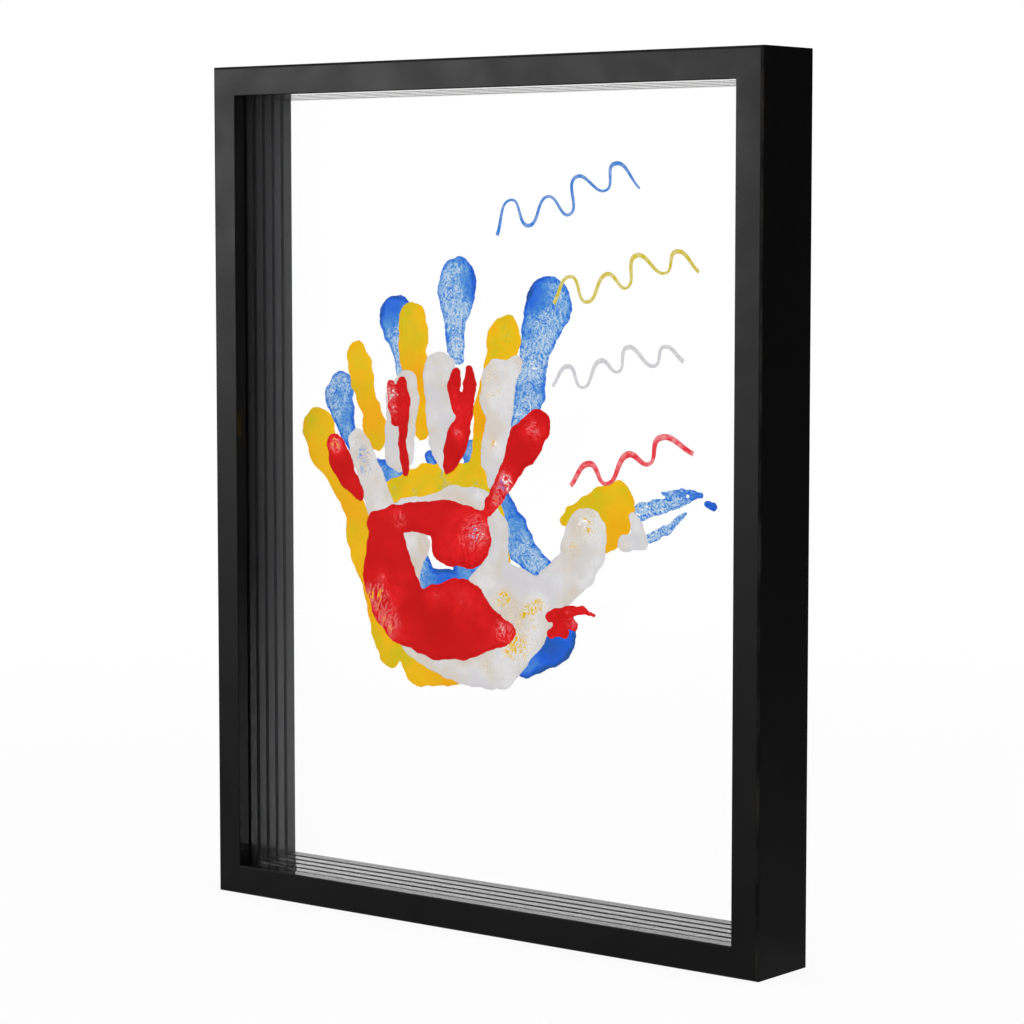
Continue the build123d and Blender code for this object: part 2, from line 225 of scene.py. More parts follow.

# The spacer frames between the sheets: extruded black polystyrene, glossy on its inner faces,
# so that the ledges mirror the light from behind and the panes show as dark lines between them.
# The plastic is painted greyer towards the back: a painted reflection that adds to the glare the panes in
# front lay over each spacer, more the further back it lies.
painted_veil_front, painted_veil_back = -10 * mm, 11 * mm
spacer_plastic, tree, output = new_material("gloss_black_polystyrene")
place = add(tree, "TexCoord").outputs["Object"]
drag = add(tree, "TexNoise", {"Scale": 1 / (2.5 * mm), "Detail": 3}, {"Vector": place})
gloss = add(tree, "MapRange", {1: noise_low, 2: noise_high, 3: 0.05, 4: 0.12}, {0: drag.outputs[0]})
axes = add(tree, "SeparateXYZ", links={"Vector": place})
# Painted reflection: the plastic greys from front to back in place of the panes' glare
bloom_and_painted_veil = add(tree, "MapRange", {1: painted_veil_front, 2: painted_veil_back}, {0: axes.outputs[1]})
plastic = add(
    tree, "Mix", {6: linear("#101011"), 7: linear("#48484a")}, {0: bloom_and_painted_veil.outputs[0]}, data_type="RGBA"
)
bump = add(tree, "Bump", {"Strength": 0.06, "Distance": 0.02 * mm}, {"Height": drag.outputs[0]})
surface = add(
    tree, "BsdfPrincipled",
    {"Specular IOR Level": 0.2, "Coat Weight": 1, "Coat Roughness": 0.03, "Coat IOR": 1.35},
    {"Base Color": plastic.outputs[2], "Roughness": gloss.outputs[0], "Normal": bump.outputs[0]},
)
tree.links.new(surface.outputs[0], output.inputs["Surface"])
for number in range(1, len(print_colours) + 1):
    finish_node("spacer_frame_" + str(number), spacer_plastic)

# The prints: a hand pressed in acrylic paint on the front of each sheet, smallest in front. Paint lies
# thick at the rim where it was squeezed out, and thin, dry and streaked where the skin lifted from it.
film_thickness = 0.25 * mm

# The directions in which a string round some circles is measured
turns = np.linspace(0, 2 * math.pi, 60, endpoint=False)
turns = np.stack([np.cos(turns), np.sin(turns)])


def outside(points, circles):
    """How far points lie outside a string pulled round some circles; negative inside."""
    circles = np.array(circles)
    reach = (circles[:, :2] @ turns + circles[:, 2:3]).max(0)
    return (points @ turns - reach).max(1)


def outside_pair(points, tip, root):
    """The same for two circles, with the place of each point along and aside of the line from tip to root."""
    span = np.subtract(root[:2], tip[:2])
    length = np.hypot(*span)
    off = points - tip[:2]
    along = off @ span / length
    aside = off @ np.array([-span[1], span[0]]) / length
    flare = (tip[2] - root[2]) / length
    level = math.sqrt(1 - flare * flare)
    reach = along * level - np.abs(aside) * flare
    band = np.abs(aside) * level + along * flare - tip[2]
    by_tip = np.hypot(along, aside) - tip[2]
    by_root = np.hypot(along - length, aside) - root[2]
    gap = np.where(reach < 0, by_tip, np.where(reach > level * length, by_root, band))
    return gap, along, aside


def hand_outline(points, hand):
    """How far points lie outside a print with a soft, uneven outline; negative inside."""
    gaps = [outside_pair(points, *pair)[0] for stroke in hand["strokes"] for pair in zip(stroke, stroke[1:])]
    if "palm" in hand:
        gaps.append(outside(points, hand["palm"]))
    blur = 0.4
    gaps = np.stack(gaps)
    nearest = gaps.min(0)
    gap = nearest - blur * np.log(np.exp(-(gaps - nearest) / blur).sum(0))

    # The edge sways over about 8 mm and shakes over about 2 mm
    x, z = points.T
    sway = np.sin(0.71 * x + 1.3 * np.sin(0.43 * z)) + np.sin(0.83 * z + 1.7 * np.sin(0.39 * x))
    shake = np.sin(2.3 * x + 1.9 * z + 2 * np.sin(0.9 * x)) + np.sin(2.1 * z - 1.6 * x)
    return gap + 0.2 * sway + 0.08 * shake


def paint_film(name, hand, sheet):
    """A print's film of paint: a grid on the front of its sheet, cut to the hand and given relief."""
    low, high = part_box(sheet)
    front, middle = low.y, (low.z + high.z) / 2
    circles = np.array([pad for stroke in hand["strokes"] + [hand.get("palm", [])] for pad in stroke])
    step, margin = 0.55, 3
    start = (circles[:, :2] - circles[:, 2:3]).min(0) - margin
    end = (circles[:, :2] + circles[:, 2:3]).max(0) + margin
    cells = np.ceil((end - start) / step).astype(int)
    centre = (start + end) / 2
    bpy.ops.object.select_all(action="DESELECT")
    bpy.ops.mesh.primitive_grid_add(
        x_subdivisions=int(cells[0]), y_subdivisions=int(cells[1]), size=1,
        location=(centre[0] * mm, front, middle + centre[1] * mm), rotation=(math.pi / 2, 0, 0),
    )
    film = bpy.context.object
    film.name = name
    film.scale = (cells[0] * step * mm, cells[1] * step * mm, 1)
    bpy.ops.object.transform_apply(location=True, rotation=True, scale=True)
    mesh = film.data

    def flat_points():
        spots = np.empty(3 * len(mesh.vertices))
        mesh.vertices.foreach_get("co", spots)
        spots = spots.reshape(-1, 3)
        return spots, np.stack([spots[:, 0], spots[:, 2] - middle], 1) / mm

    # Cut away the cells that lie wholly outside the hand
    gap = hand_outline(flat_points()[1], hand)
    corners = np.empty(4 * len(mesh.polygons), int)
    mesh.loops.foreach_get("vertex_index", corners)
    empty = (gap[corners.reshape(-1, 4)] > 0).all(1)
    bpy.ops.object.mode_set(mode="EDIT")
    bpy.ops.mesh.select_mode(type="FACE")
    bpy.ops.mesh.select_all(action="DESELECT")
    bpy.ops.object.mode_set(mode="OBJECT")
    mesh.polygons.foreach_set("select", empty)
    bpy.ops.object.mode_set(mode="EDIT")
    bpy.ops.mesh.delete(type="FACE")
    bpy.ops.object.mode_set(mode="OBJECT")

    # Draw the points that are left outside in to the outline
    spots, points = flat_points()
    proud = hand_outline(points, hand) > 0
    drawn = points[proud]
    feel, least_slope, rounds = 0.1, 0.3, 4
    for _ in range(rounds):
        gap = hand_outline(drawn, hand)
        slope_x = (hand_outline(drawn + [feel, 0], hand) - gap) / feel
        slope_z = (hand_outline(drawn + [0, feel], hand) - gap) / feel
        steep = np.maximum(slope_x ** 2 + slope_z ** 2, least_slope)
        drawn = drawn - (np.maximum(gap, 0) / steep)[:, None] * np.stack([slope_x, slope_z], 1)
    points[proud] = drawn
    spots[:, 0], spots[:, 2] = points[:, 0] * mm, points[:, 1] * mm + middle
    mesh.vertices.foreach_set("co", spots.ravel())

    # What the paint follows: how far in from the rim, how dry, and how the skin's streaks run. They lean
    # back from the middle of a finger, and slant down across a palm.
    rim_limit, pad_blend, lean, bend = 12, 4, 0.8, 2
    rim = np.clip(-hand_outline(points, hand), 0, rim_limit)
    apart = np.linalg.norm(points[:, None] - circles[None, :, :2], axis=2)
    weight = np.exp((circles[:, 2] - apart) / pad_blend)
    dry = (weight * circles[:, 3]).sum(1) / weight.sum(1)
    for x, z, radius, change in hand["spots"]:
        dry += change * np.exp(-((points - (x, z)) ** 2).sum(1) / radius ** 2)
    nearest = np.full(len(points), np.inf)
    across = points @ np.array([0.83, -0.55])
    length = points @ np.array([0.55, 0.83])
    for stroke in hand["strokes"]:
        run = 0
        for tip, root in zip(stroke, stroke[1:]):
            gap, along, aside = outside_pair(points, tip, root)
            here = (gap < nearest) & (gap < 1)
            nearest = np.where(here, gap, nearest)
            across = np.where(here, run + along - lean * np.sqrt(aside ** 2 + bend ** 2), across)
            length = np.where(here, aside, length)
            run += math.dist(tip[:2], root[:2])
    followed = {"rim": rim, "dry": np.clip(dry, -0.6, 1), "streak_across": across, "streak_length": length}
    for title, amounts in followed.items():
        mesh.attributes.new(title, "FLOAT", "POINT").data.foreach_set("value", amounts.astype(np.float32))

    # Give it thickness, low at the rim and full inside
    rim_share, rim_width = 0.3, 1.6
    bpy.ops.object.mode_set(mode="EDIT")
    bpy.ops.mesh.select_all(action="SELECT")
    bpy.ops.mesh.extrude_region_move(TRANSFORM_OT_translate={"value": (0, -film_thickness, 0)})
    bpy.ops.mesh.select_all(action="SELECT")
    bpy.ops.mesh.normals_make_consistent(inside=False)
    bpy.ops.object.mode_set(mode="OBJECT")
    spots = flat_points()[0]
    rim = np.empty(len(mesh.vertices), np.float32)
    mesh.attributes["rim"].data.foreach_get("value", rim)
    raised = spots[:, 1] < front - film_thickness / 2
    swell = film_thickness * (rim_share + (1 - rim_share) * np.clip(rim / rim_width, 0, 1) ** 0.5)
    spots[raised, 1] = front - swell[raised]
    mesh.vertices.foreach_set("co", spots.ravel())
    mesh.update()
    bpy.ops.object.shade_smooth_by_angle(angle=math.radians(50))
    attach(film, "frame")
    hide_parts(name.replace("_film", ""))
    return film


def hand_paint(name, pool, thick, even, thin, tint, rim_gain, streak_gain, streak, bare_at, full_at):
    """Dried acrylic paint: deep where it pooled, paler and streaked where it is thin, then bare."""
    material, tree, output = new_material(name)
    place = add(tree, "TexCoord").outputs["Object"]
    rim = add(tree, "Attribute", attribute_name="rim").outputs["Fac"]
    dry = add(tree, "Attribute", attribute_name="dry").outputs["Fac"]
    across = add(tree, "Attribute", attribute_name="streak_across").outputs["Fac"]
    length = add(tree, "Attribute", attribute_name="streak_length").outputs["Fac"]

    # Blotches of 9 mm and clouds of 16 mm, and a fine stipple of 0.7 mm
    centred = {1: noise_low, 2: noise_high, 3: -0.5, 4: 0.5}
    blotches = add(tree, "TexNoise", {"Scale": 1 / (9 * mm), "Detail": 2}, {"Vector": place})
    blotch = add(tree, "MapRange", centred, {0: blotches.outputs[0]})
    clouds = add(tree, "TexNoise", {"Scale": 1 / (16 * mm), "Detail": 2}, {"Vector": place})
    stipples = add(tree, "TexNoise", {"Scale": 1 / (0.7 * mm), "Detail": 2}, {"Vector": place})
    stipple = add(tree, "MapRange", centred, {0: stipples.outputs[0]})

    # Squiggles that the skin's lines drew: 1.3 mm apart, coarser than the lines themselves so that they
    # show, over smears three times as large
    line_gap, smear_size = 1.3, 3
    warps = add(tree, "TexNoise", {"Scale": 1 / (2.5 * mm), "Detail": 1}, {"Vector": place})
    warp = add(tree, "MapRange", {1: noise_low, 2: noise_high, 3: -0.8, 4: 0.8}, {0: warps.outputs[0]})
    waver = add(tree, "Math", {1: 2.5}, {0: blotch.outputs[0], 2: across}, operation="MULTIPLY_ADD")
    bent = add(tree, "Math", links={0: waver.outputs[0], 1: warp.outputs[0]}, operation="ADD")
    drawn = add(tree, "CombineXYZ", links={0: bent.outputs[0], 1: length})
    close, wider = (1 / line_gap, 1 / streak, 1), (1 / smear_size / line_gap, 1 / smear_size / streak, 1)
    fine = add(tree, "Mapping", {"Scale": close}, {"Vector": drawn.outputs[0]})
    wide = add(tree, "Mapping", {"Scale": wider}, {"Vector": drawn.outputs[0]})
    lines = add(tree, "TexNoise", {"Scale": 1, "Detail": 1}, {"Vector": fine.outputs[0]})
    smears = add(tree, "TexNoise", {"Scale": 1, "Detail": 2}, {"Vector": wide.outputs[0]})
    off_line = add(tree, "Math", {1: 0.5}, {0: lines.outputs[0]}, operation="SUBTRACT")
    from_line = add(tree, "Math", links={0: off_line.outputs[0]}, operation="ABSOLUTE")
    line = add(tree, "MapRange", {1: 0.015, 2: 0.09, 3: 0.6, 4: -0.35}, {0: from_line.outputs[0]})
    smear = add(tree, "MapRange", centred, {0: smears.outputs[0]})

    # How thick the paint lies
    uneven = add(tree, "Math", {1: 1.6}, {0: blotch.outputs[0], 2: rim}, operation="MULTIPLY_ADD")
    squeezed = add(
        tree, "MapRange", {1: 0.2, 2: 3.0, 3: rim_gain, 4: 0}, {0: uneven.outputs[0]},
        interpolation_type="SMOOTHSTEP",
    )
    full = add(tree, "Math", {1: -0.7, 2: 1}, {0: dry}, operation="MULTIPLY_ADD")
    banked = add(tree, "Math", links={0: squeezed.outputs[0], 1: full.outputs[0]}, operation="MULTIPLY")
    laid = add(tree, "Math", links={0: banked.outputs[0], 1: dry}, operation="SUBTRACT")
    wet = add(tree, "Math", {1: 1}, {0: laid.outputs[0]}, operation="ADD")
    skin = add(tree, "Math", {1: 0.6}, {0: smear.outputs[0], 2: line.outputs[0]}, operation="MULTIPLY_ADD")
    grit = add(tree, "Math", {1: 0.5}, {0: stipple.outputs[0], 2: skin.outputs[0]}, operation="MULTIPLY_ADD")
    lift = add(tree, "MapRange", {1: 0, 2: 1, 3: 0.12, 4: 0.12 + streak_gain}, {0: dry})
    drag = add(
        tree, "Math", links={0: grit.outputs[0], 1: lift.outputs[0], 2: wet.outputs[0]},
        operation="MULTIPLY_ADD",
    )
    depth = add(tree, "Math", {1: 0.2}, {0: blotch.outputs[0], 2: drag.outputs[0]}, operation="MULTIPLY_ADD")

    rich = add(tree, "MapRange", {1: 0.7, 2: 1.15}, {0: depth.outputs[0]})
    some = add(tree, "MapRange", {1: 0.2, 2: 0.65}, {0: depth.outputs[0]})
    mixed = add(tree, "MapRange", {1: 0.42, 2: 0.62}, {0: clouds.outputs[0]})
    middle = add(tree, "Mix", {6: linear(even), 7: linear(tint)}, {0: mixed.outputs[0]}, data_type="RGBA")
    paler = add(
        tree, "Mix", {6: linear(thin)}, {0: some.outputs[0], 7: middle.outputs[2]}, data_type="RGBA"
    )
    fuller = add(
        tree, "Mix", {7: linear(thick)}, {0: rich.outputs[0], 6: paler.outputs[2]}, data_type="RGBA"
    )
    pooled = add(tree, "MapRange", {1: 1.2, 2: 1.6}, {0: depth.outputs[0]})
    body = add(
        tree, "Mix", {7: linear(pool)}, {0: pooled.outputs[0], 6: fuller.outputs[2]}, data_type="RGBA"
    )
    shine = add(tree, "MapRange", {1: 0.2, 2: 1.0, 3: 0.7, 4: 0.5}, {0: depth.outputs[0]})
    bump = add(tree, "Bump", {"Strength": 0.15, "Distance": 0.12 * mm}, {"Height": depth.outputs[0]})
    paint = add(
        tree, "BsdfPrincipled", {"Specular IOR Level": 0.05},
        {"Base Color": body.outputs[2], "Roughness": shine.outputs[0], "Normal": bump.outputs[0]},
    )
    bare = add(tree, "BsdfTransparent")
    cover = add(
        tree, "MapRange", {1: bare_at, 2: full_at}, {0: depth.outputs[0]}, interpolation_type="SMOOTHSTEP"
    )
    film = add(tree, "MixShader", links={0: cover.outputs[0], 1: bare.outputs[0], 2: paint.outputs[0]})
    tree.links.new(film.outputs[0], output.inputs["Surface"])
    return material


# Each pad is x, z and radius in millimetres from the middle of the window, and how dry it is. A stroke
# runs from the tip of a finger to its root, or round a palm. A spot adds to how dry the paint is there.
red_hand = {
    "strokes": [
        [
            (-87, 20, 4.5, 0.3), (-85, 16, 5.3, 0.1), (-83.5, 12.5, 6.6, 0.05), (-79.5, 5.5, 5, 0.15),
            (-74, 0, 3.4, 0.1), (-72, -3, 1.8, 0.1),
        ],
        [(-54, 47, 2.4, 0.4), (-53, 39.5, 3, 0.6), (-51.5, 31.5, 2.6, 0.6)],
        [
            (-48, 47.5, 3, 0.1), (-46.5, 39.5, 3.3, 0.05), (-47, 32, 3, 0.1), (-48, 21.5, 2, 0.1),
            (-46.5, 15, 2.5, 0.1), (-46, 9, 1.8, 0.1),
        ],
        [(-17, 53, 2.5, 0.1), (-18.5, 47.5, 3.5, 0.05), (-18, 42.5, 3, 0.2), (-16, 37, 3, 0.6)],
        [
            (-10, 54, 2.3, 0.1), (-9.5, 48.5, 3.4, 0.05), (-11, 41.5, 3.6, 0.1), (-12.5, 35, 4.2, 0.1),
            (-15, 28.5, 5, 0.1), (-17, 24.5, 6, 0.1), (-19, 19, 5.3, 0.15), (-21, 14, 3.5, 0.1),
            (-23, 10, 1.2, 0.1),
        ],
        [(27, 32, 7, 0.1), (20, 24, 9, 0.05), (15, 17, 6, 0.2), (9, 7, 4.5, 0.6), (1, -6, 2, 0.65)],
        [(6.2, 9, 1.5, 0.05), (0.8, -0.7, 1.6, 0.05), (-1.2, -5.9, 1.2, 0.05)],
        [
            (33.5, -48.5, 2.2, 0.15), (37.5, -47, 2.6, 0.15), (45.5, -45, 2.3, 0.15),
            (51.5, -44.5, 1.5, 0.25), (57, -46, 0.8, 0.6),
        ],
        [(38, -49, 2.4, 0.2), (39, -52.5, 3.2, 0.15), (42, -55, 2.2, 0.1)],
        [(37.5, -53.5, 2.6, 0.2), (34.5, -55.5, 2, 0.1)],
        [(43, -49.5, 3, 0.62), (46.5, -51, 2.4, 0.65)],
        [
            (-63, -14.5, 5.5, 0.2), (-52, -11.5, 6, 0.2), (-38, -10, 6.5, 0.1), (-22.5, -11, 9, 0.1),
            (-11.5, -17.5, 13.5, 0.15),
        ],
        [(-21.5, -20.5, 10, 0.1), (-14, -14, 9, 0.15), (-3.5, -8.5, 3.5, 0.15)],
        [
            (-58, -17, 9, 0.15), (-57, -25.5, 11.5, 0.15), (-55.5, -37.5, 15, 0.2), (-51, -47.5, 15, 0.2),
            (-48.5, -56, 10.5, 0.2), (-28.5, -55.5, 16, 0.1), (-15.5, -53, 17.5, 0.1), (-2.5, -56, 10, 0.15),
            (8.5, -57, 5.5, 0.3), (13, -56.5, 2.4, 0.4),
        ],
    ],
    "spots": [
        (-59, -38.5, 3, 0.3), (-61, -45, 4, 0.3), (-68.5, -45, 4, 0.35), (-57, -58, 8, 0.3),
        (-63, -50, 7, 0.2), (7.5, -55.5, 4, 0.25), (-7, -15, 7.5, 0.45), (22, 34, 4, 0.2), (9, 7, 4, 0.25),
        (5, 0, 3.5, 0.3), (-54, 43, 3, 0.4), (-52.5, 35, 2.5, 0.3), (-87, 20, 5, 0.45),
        (-16.5, 27, 2.5, 0.35), (-28, -58, 12, -0.35), (-55, -30, 9, -0.25), (-40, -45, 8, -0.3),
        (-82, 9, 5, -0.3), (-46.5, 28, 8, -0.25), (-19, 18, 6, -0.3), (18, 18, 7, -0.25),
        (25, 29, 5, 0.35), (-30, -44, 6, 0.25), (-14, -46, 7, 0.22), (-50, -12, 5, 0.25),
    ],
}
white_hand = {
    "palm": [
        (-1, -35, 9, 0.25), (24, -44.5, 11, 0.3), (11.5, -60.5, 9.5, 0.35), (2, -73.5, 9.5, 0.25),
        (-14.5, -73.5, 9.5, 0.25), (-40, -69, 7, 0.3),
    ],
    "strokes": [
        [
            (-78.5, 21, 5.5, 0.4), (-75.5, 15, 6.5, 0.35), (-71.5, 6.5, 7, 0.25), (-67.5, -2.5, 7.5, 0.2),
            (-64.5, -9.5, 8, 0.2),
        ],
        [(-49.5, 48, 5.3, 0.2), (-52.5, 40, 9.3, 0.2), (-54, 27, 8.2, 0.2), (-54.5, 17, 8.5, 0.2)],
        [(-31, 52, 9.8, 0.15), (-30, 34, 8.7, 0.15), (-28.5, 22, 8.5, 0.15), (-27, 15.5, 6, 0.2)],
        [
            (1.5, 50, 9.5, 0.25), (0.5, 42, 9.1, 0.25), (2, 35, 6.7, 0.2), (0, 23, 7.6, 0.2),
            (-1.5, 17, 7, 0.2), (-1.5, 9, 3.4, 0.2), (-3, 5, 1.5, 0.2),
        ],
        [(48.5, -12.5, 10.5, 0.3), (47, -19, 11.5, 0.25), (44, -27, 9.8, 0.2), (30.5, -38.5, 10, 0.2)],
        [(73.5, -5, 2.5, 0.2), (76.5, -14, 4, 0.3), (68, -15.8, 3.2, 0.2)],
        [(10.5, 57, 4, 0.35), (4, 49, 6, 0.3)],
        [
            (-63, -12, 8.5, 0.2), (-51.5, -17, 9, 0.25), (-45.5, -23, 8, 0.25), (-51, -32.5, 8.5, 0.25),
            (-51.5, -48, 9, 0.25), (-46, -65, 8, 0.25),
        ],
        [
            (-50, -10.5, 8, 0.2), (-37, -8, 6.5, 0.2), (-23, -4, 8, 0.2), (-9, -4, 7.3, 0.2),
            (-1.5, -14, 8, 0.2), (-1, -25.5, 7.5, 0.25),
        ],
    ],
    "spots": [
        (5, -42.5, 4.5, 0.65), (16.5, -48, 5, 0.5), (23.5, -44, 4, 0.6), (11, -63, 6, 0.45),
        (-6, -74.5, 5.5, 0.4), (50, -9, 5, 0.4), (42, -19, 4, 0.55), (-1, 23, 3, 0.4),
        (-4, 43.5, 4, 0.25), (-2, 52.5, 3.5, 0.2), (-76, 15, 3, 0.35), (-74, 9, 3.5, 0.4),
        (10, -36, 9, -0.45), (26, -38, 8, -0.4), (-4, -20, 8, -0.3), (-25, 28, 8, -0.4), (-36, 42, 6, -0.3),
        (-58, 22, 8, -0.35), (0, 8, 8, -0.3), (45, -22, 7, -0.25), (-8, -79, 8, -0.4), (75, -14, 4, -0.4),
    ],
}
yellow_hand = {
    "palm": [
        (-5, -38.5, 9, 0.2), (14, -46, 9, 0.2), (5.5, -64, 9, 0.2), (-19.5, -74.5, 8.5, 0.2),
        (-42, -70, 9, 0.2),
    ],
    "strokes": [
        [
            (-107, 25.2, 9.5, 0.2), (-104, 15.5, 8.6, 0.15), (-96, 8, 7.5, 0.15), (-91, -1.5, 6.5, 0.15),
            (-84.5, -11, 6, 0.15), (-82.5, -21.5, 8, 0.2), (-79, -30.5, 8.5, 0.2), (-72.5, -41, 8.7, 0.2),
            (-70.5, -53, 8, 0.2), (-68.5, -63, 7.5, 0.25), (-65, -73.5, 6, 0.3),
        ],
        [
            (-84, 59.5, 5.8, 0.2), (-82, 54, 6.8, 0.15), (-81, 47.5, 6.7, 0.15), (-79, 40.5, 5.2, 0.15),
            (-75.5, 34.5, 5.4, 0.15), (-73.5, 26.5, 6.8, 0.15), (-72, 21, 4, 0.15), (-71.5, 18, 1.5, 0.15),
        ],
        [
            (-51.5, 74.5, 8, 0.25), (-51, 67.5, 8.4, 0.2), (-52, 63, 7.5, 0.2), (-51, 57.5, 7.8, 0.1),
            (-49.5, 49.5, 6, 0.1), (-48, 41, 5.5, 0.1), (-47, 33.5, 5.2, 0.1), (-46.5, 26.5, 4.2, 0.1),
        ],
        [
            (1.5, 73, 5.2, 0.25), (-0.5, 67, 9, 0.2), (-1.5, 62, 8, 0.2), (-5.5, 50, 7, 0.1),
            (-10.5, 36, 6.8, 0.1), (-11, 26, 6, 0.1), (-13, 16, 5.5, 0.2), (-14, 11, 5, 0.35),
        ],
        [
            (32.5, -8.5, 2.3, 0.15), (36, -5.5, 3, 0.15), (44, -1, 3.5, 0.25), (52.5, 2.5, 4.5, 0.2),
            (61.5, 4.5, 5.2, 0.15), (64, -0.5, 5.3, 0.15), (62, -9, 4.8, 0.1), (58, -16.5, 3, 0.1),
            (54.5, -20, 1.5, 0.1),
        ],
        [(44.5, -3.5, 4, 0.2), (55, -6, 5, 0.2), (50, -14, 7, 0.2), (41, -22.5, 7, 0.2)],
        [
            (-64, -1, 5, 0.35), (-44.5, 5, 7, 0.35), (-27.5, 5, 8, 0.35), (-13.5, 7, 7.2, 0.4),
            (-8, -10.5, 8, 0.4), (-5, -29, 8.2, 0.3),
        ],
        [(-55, -72, 6, 0.3), (-49, -79.5, 6.7, 0.3), (-28, -78, 6.3, 0.2)],
    ],
    "spots": [
        (-49, 0, 5, 0.25), (-32, 3, 5, 0.25), (-15, 3, 5, 0.25), (-62, -1, 4, 0.25), (-51.5, 72, 9, 0.22),
        (-83, 56, 8, 0.2), (0, 69, 9, 0.25), (-106, 24, 9, 0.22), (60, 3, 7, 0.2), (-72, -50, 12, -0.4),
        (-88, -8, 10, -0.3), (-30, -78, 13, -0.4), (-49.5, 48, 9, -0.35), (-10, 32, 9, -0.4),
        (-75, 32, 8, -0.3), (59, -12, 8, -0.3),
    ],
}
blue_hand = {
    "strokes": [
        [
            (-98.5, 43.5, 7.5, 0.55), (-100, 39.5, 7.9, 0.6), (-98, 33.5, 7, 0.5), (-96.5, 28.5, 5.2, 0.4),
            (-94, 23, 4.2, 0.35), (-81.5, 7.5, 6, 0.4), (-69.5, 3.5, 8, 0.3), (-62, -28, 12, 0.4),
            (-54, -50, 14, 0.3),
        ],
        [(-65.2, 75.2, 10.4, 0.35), (-64.5, 70, 8.5, 0.55), (-65.5, 62, 3, 0.7), (-63.5, 51.5, 2.4, 0.9)],
        [
            (-30.5, 92.5, 10, 0.5), (-31.5, 87.5, 10.4, 0.6), (-31.5, 81.5, 8.5, 0.7), (-32, 77, 6, 0.65),
            (-32.5, 71.5, 5.3, 0.65), (-32, 64, 4.9, 0.75), (-31, 59.5, 4, 0.85),
        ],
        [
            (19.4, 82.2, 12.4, 0.5), (14, 70, 9.3, 0.6), (11, 58, 7.5, 0.7), (9, 45, 8.5, 0.65),
            (4, 31, 5.5, 0.65), (2, 26, 3, 0.7),
        ],
        [(-66, 0, 5, 0.3), (-49, 5, 5.5, 0.3), (-37, 6, 6, 0.3), (-20, 7, 6, 0.3)],
        [(-47, 15, 2.6, 0.25), (-44, 10, 3, 0.3)],
        [
            (-23.5, 18, 5.5, 0.5), (-13, 6, 6, 0.4), (-4.5, -5.5, 5, 0.3), (1, -13.5, 6.5, 0.4),
            (3.5, -21, 8, 0.6), (11, -28, 6, 0.6), (17.5, -30.5, 4.5, 0.55),
        ],
        [(-56, -48, 12, 0.3), (-38, -44.5, 10.3, 0.25), (-20, -44, 10, 0.2), (4, -52, 12, 0.2)],
        [(-58, -6, 9, 0.4), (-57, -18, 8.8, 0.4), (-57.3, -30, 9.2, 0.45)],
        [(-56, -35, 10, 0.5), (-52, -42, 8.6, 0.55)],
        [(-56, -4, 7, 0.35), (-42, -3, 6.8, 0.4), (-28, -2.5, 7.2, 0.4), (-19.5, -1.5, 6.2, 0.45)],
        [(-18, -8, 8.3, 0.4), (-17, -16, 10.2, 0.45), (-14, -29, 9.8, 0.45), (-8, -41, 9, 0.3)],
        [(-50, -8, 5.5, 0.4), (-46.5, -11.5, 5, 0.45)],
        [(-24, -8, 6, 0.4), (-28.5, -12.5, 5, 0.45)],
        [(-22, -38, 7, 0.3), (-28, -33, 5.5, 0.4)],
        [(79.8, 4.8, 0.9, 0.55), (89.5, 6.5, 0.9, 0.5), (99, 5.3, 1, 0.5), (92.5, 2.6, 0.9, 0.6)],
        [(68, -3.4, 4, 0.85), (89.5, 2.6, 2.6, 0.85)],
        [(73, -14, 2.2, 0.85), (81, -10.6, 2, 0.85), (91.5, -2.9, 1, 0.75)],
        [(102.1, 1.4, 1.4, 0.25), (105.5, 1.1, 1.8, 0.15)],
        [(28, -39, 4, 0.6), (23.5, -43.5, 6, 0.6), (19, -57.5, 15, 0.1), (6.5, -68.5, 10, 0.15)],
    ],
    "spots": [
        (-70.5, 77, 7, -0.35), (-64, 81.5, 6, -0.3), (-65, 70.5, 5, 0.15), (-23.5, 93, 6, -0.45),
        (-23.5, 86, 4, -0.3), (-38, 88, 6, 0.05), (12.5, 89, 8, -0.45), (9.5, 82.5, 6, -0.35),
        (7.5, 70, 5, -0.3), (15, 77, 5, 0.12), (14.5, 46.5, 4.5, -0.35), (2.5, 44.5, 4.5, -0.35),
        (6.5, 40.5, 4, 0.1), (-103, 46, 5, 0.1), (-99.5, 40.5, 2.5, -0.4), (-94.5, 32, 4, -0.3),
        (-36, 68, 3, -0.35), (20, -60, 13, -0.55), (-38, -38, 9, -0.35), (3, -14, 8, -0.2),
    ],
}

# Each paint's colours from pooled to thin, how much it gains at the rim and in streaks, the length of a
# streak in millimetres, and how thick it lies where it first covers the sheet and where it hides it
prints = {
    "red": (red_hand, {
        "pool": "#ac0507", "thick": "#c00a0c", "even": "#e21a1e", "thin": "#ee7f83", "tint": "#cc1013",
        "rim_gain": 0.2, "streak_gain": 0.9, "streak": 5, "bare_at": 0.1, "full_at": 0.45,
    }),
    "white": (white_hand, {
        "pool": "#c0c6d0", "thick": "#d0cfd2", "even": "#e1e0e0", "thin": "#e6e2dc", "tint": "#d4c8b8",
        "rim_gain": 0.2, "streak_gain": 0.8, "streak": 5, "bare_at": 0.1, "full_at": 0.7,
    }),
    "yellow": (yellow_hand, {
        "pool": "#e29600", "thick": "#f0ac00", "even": "#f0be06", "thin": "#cfc21c", "tint": "#d2be0c",
        "rim_gain": 0.1, "streak_gain": 0.8, "streak": 5, "bare_at": -0.05, "full_at": 0.42,
    }),
    "blue": (blue_hand, {
        "pool": "#1f549e", "thick": "#1860dc", "even": "#5a9cda", "thin": "#bcd4ea", "tint": "#4a90d6",
        "rim_gain": 0.7, "streak_gain": 0.9, "streak": 2.2, "bare_at": -0.25, "full_at": 0.15,
    }),
}
